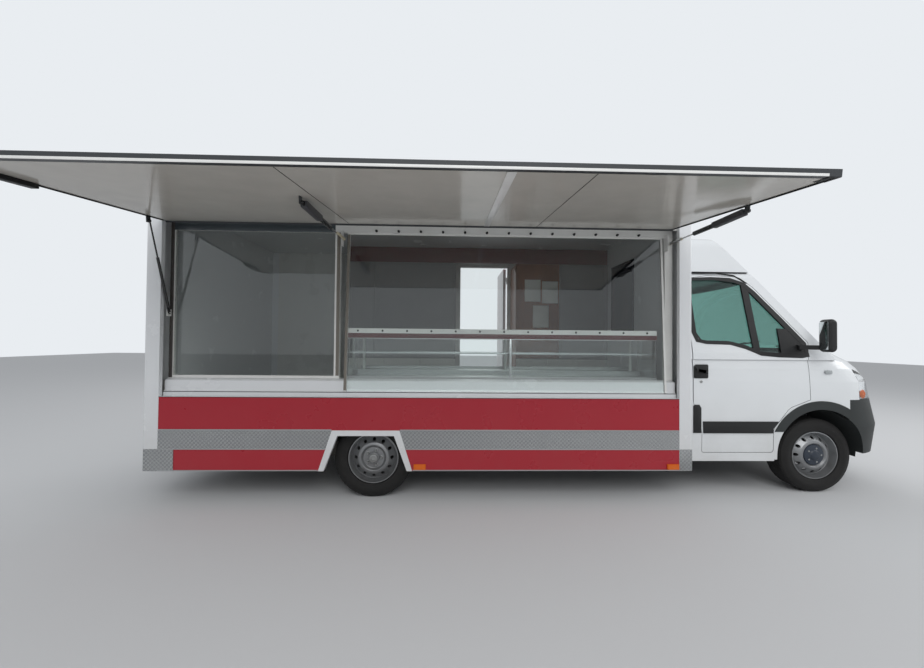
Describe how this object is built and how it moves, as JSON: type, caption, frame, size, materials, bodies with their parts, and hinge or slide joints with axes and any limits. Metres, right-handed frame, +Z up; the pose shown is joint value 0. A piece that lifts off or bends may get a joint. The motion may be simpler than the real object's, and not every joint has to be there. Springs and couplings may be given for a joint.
{
  "type": "food truck",
  "caption": "Food truck: van cab, box sales body with a wide side flap held open on struts, glazed serving counter with a display case, and an entry door on the far side.",
  "frame": {"origin": "middle of the footprint on the ground, with the flap and the entry door open as stored", "axes": "+X forwards along the vehicle, +Y to its left, which is the entry door side, +Z up; the sales flap is on the -Y side"},
  "size_m": [6.863, 4.365, 2.6399],
  "materials": {
    "body_red": "gloss traffic red",
    "body_white": "gloss white",
    "bumper_grey": "grained dark grey",
    "cab_white": "gloss white",
    "chassis_black": "satin black paint",
    "clear_glass": "clear",
    "counter_white": "white laminate",
    "cupboard_grey": "pale grey laminate",
    "dash_grey": "dark grey",
    "engine_iron": "bare",
    "fairing_white": "gloss white glass-fibre",
    "flap_grey": "satin dark grey",
    "flap_lining": "gloss off-white",
    "floor_grey": "grey vinyl on plywood",
    "frame_white": "satin white coated aluminium",
    "lamp_clear": "clear lens",
    "lamp_red": "gloss red",
    "rail_white": "gloss white",
    "seat_fabric": "dark woven",
    "strut_black": "gloss black paint",
    "strut_rod": "polished",
    "tray_steel": "brushed",
    "tread_plate": "five-bar tread pattern",
    "trim_black": "grained black",
    "tyre": "matt black rubber",
    "wheel_steel": "silver paint, slightly dusty"
  },
  "bodies": {
    "vehicle": {"arch_frames": "body_white", "arch_trims": "bumper_grey", "body_floor": "floor_grey", "cab_pan": "dash_grey", "cab_seats": "seat_fabric", "cab_shell": "cab_white", "corner_posts": "body_white", "counter_base": "counter_white", "dashboard": "dash_grey", "display_canopy": "rail_white", "display_glass": "clear_glass", "display_rail": "rail_white", "display_tray": "tray_steel", "end_walls": "body_white", "engine_block": "engine_iron", "frame_rails": "chassis_black", "front_bumper": "bumper_grey", "front_subframe": "chassis_black", "front_wings": "cab_white", "grille": "bumper_grey", "hatch_frame": "frame_white", "hatch_glass": "clear_glass", "headlamps": "lamp_clear", "rear_axle": "chassis_black", "rear_bumper": "chassis_black", "rear_lamps": "lamp_red", "roof_fairing": "fairing_white", "roof_panel": "body_white", "sales_sill": "body_white", "side_wall_left": "body_red", "side_wall_right": "body_red", "tread_plates": "tread_plate", "wall_units": "cupboard_grey", "windscreen": "clear_glass"},
    "wheel_front_right": {"tyre_front_right": "tyre", "rim_front_right": "wheel_steel"},
    "wheel_front_left": {"tyre_front_left": "tyre", "rim_front_left": "wheel_steel"},
    "wheel_rear_right": {"tyre_rear_right": "tyre", "rim_rear_right": "wheel_steel"},
    "wheel_rear_left": {"tyre_rear_left": "tyre", "rim_rear_left": "wheel_steel"},
    "knuckle_right": {"knuckle_right": "chassis_black"},
    "cab_door_right": {"cab_door_right": "cab_white", "door_glass_right": "clear_glass", "door_trim_right": "trim_black"},
    "knuckle_left": {"knuckle_left": "chassis_black"},
    "cab_door_left": {"cab_door_left": "cab_white", "door_glass_left": "clear_glass", "door_trim_left": "trim_black"},
    "flap": {"flap_panel": "flap_lining", "flap_frame": "flap_grey"},
    "strut_tube_middle": {"strut_tube_middle": "strut_black"},
    "strut_rod_middle": {"strut_rod_middle": "strut_rod"},
    "strut_tube_front": {"strut_tube_front": "strut_black"},
    "strut_rod_front": {"strut_rod_front": "strut_rod"},
    "strut_tube_rear": {"strut_tube_rear": "strut_black"},
    "strut_rod_rear": {"strut_rod_rear": "strut_rod"},
    "entry_door": {"entry_door": "body_white"},
    "bonnet": {"bonnet": "cab_white"}
  },
  "joints": [
    {"name": "steer_right", "type": "hinge", "parent": "vehicle", "child": "knuckle_right", "pos_m": [2.59552, -0.38453, 0.34], "axis": [0, 0, 1], "range_deg": [-33, 33]},
    {"name": "steer_left", "type": "hinge", "parent": "vehicle", "child": "knuckle_left", "pos_m": [2.59552, 1.13547, 0.34], "axis": [0, 0, 1], "range_deg": [-33, 33]},
    {"name": "spin_front_right", "type": "hinge", "parent": "knuckle_right", "child": "wheel_front_right", "pos_m": [2.59552, -0.52453, 0.34], "axis": [0, 1, 0], "continuous": true},
    {"name": "spin_front_left", "type": "hinge", "parent": "knuckle_left", "child": "wheel_front_left", "pos_m": [2.59552, 1.27547, 0.34], "axis": [0, 1, 0], "continuous": true},
    {"name": "spin_rear_right", "type": "hinge", "parent": "vehicle", "child": "wheel_rear_right", "pos_m": [-1.48248, -0.52453, 0.34], "axis": [0, 1, 0], "continuous": true},
    {"name": "spin_rear_left", "type": "hinge", "parent": "vehicle", "child": "wheel_rear_left", "pos_m": [-1.48248, 1.27547, 0.34], "axis": [0, 1, 0], "continuous": true},
    {"name": "flap_hinge", "type": "hinge", "parent": "vehicle", "child": "flap", "pos_m": [-1.05448, -0.70653, 2.38], "axis": [1, 0, 0], "range_deg": [0, 84]},
    {"name": "tube_middle", "type": "hinge", "parent": "flap", "child": "strut_tube_middle", "pos_m": [-1.76048, -1.59792, 2.25074], "axis": [1, 0, 0], "range_deg": [-1, 4.78]},
    {"name": "rod_middle", "type": "slide", "parent": "strut_tube_middle", "child": "strut_rod_middle", "axis": [0, 0.9999, 0.0121], "range_m": [-0.1578, 0]},
    {"name": "tube_front", "type": "hinge", "parent": "flap", "child": "strut_tube_front", "pos_m": [1.13352, -1.59792, 2.25074], "axis": [1, 0, 0], "range_deg": [-1, 4.78]},
    {"name": "rod_front", "type": "slide", "parent": "strut_tube_front", "child": "strut_rod_front", "axis": [0, 0.9999, 0.0121], "range_m": [-0.1578, 0]},
    {"name": "tube_rear", "type": "hinge", "parent": "vehicle", "child": "strut_tube_rear", "pos_m": [-3.24048, -0.67053, 1.6], "axis": [1, 0, 0], "range_deg": [-18.64, 1]},
    {"name": "rod_rear", "type": "slide", "parent": "strut_tube_rear", "child": "strut_rod_rear", "axis": [0, -0.3105, 0.9506], "range_m": [-0.2395, 0]},
    {"name": "entry_door_hinge", "type": "hinge", "parent": "vehicle", "child": "entry_door", "pos_m": [-0.00248, 1.50947, 1.4], "axis": [0, 0, 1], "range_deg": [-20, 90]},
    {"name": "cab_door_right_hinge", "type": "hinge", "parent": "vehicle", "child": "cab_door_right", "pos_m": [2.48752, -0.61653, 1.1], "axis": [0, 0, 1], "range_deg": [0, 60]},
    {"name": "cab_door_left_hinge", "type": "hinge", "parent": "vehicle", "child": "cab_door_left", "pos_m": [2.48752, 1.36747, 1.1], "axis": [0, 0, 1], "range_deg": [-60, 0]},
    {"name": "bonnet_hinge", "type": "hinge", "parent": "vehicle", "child": "bonnet", "pos_m": [2.74552, 0.37547, 1.285], "axis": [0, -1, 0], "range_deg": [0, 50]}
  ],
  "couplings": [
    {"joint": "steer_left", "follows": "steer_right", "ratio": 1},
    {"joint": "tube_middle", "follows": "flap_hinge", "ratio": 0.045},
    {"joint": "rod_middle", "follows": "flap_hinge", "m_per_rad": -0.10625},
    {"joint": "tube_front", "follows": "flap_hinge", "ratio": 0.045},
    {"joint": "rod_front", "follows": "flap_hinge", "m_per_rad": -0.10625},
    {"joint": "tube_rear", "follows": "flap_hinge", "ratio": -0.21},
    {"joint": "rod_rear", "follows": "flap_hinge", "m_per_rad": -0.162}
  ]
}
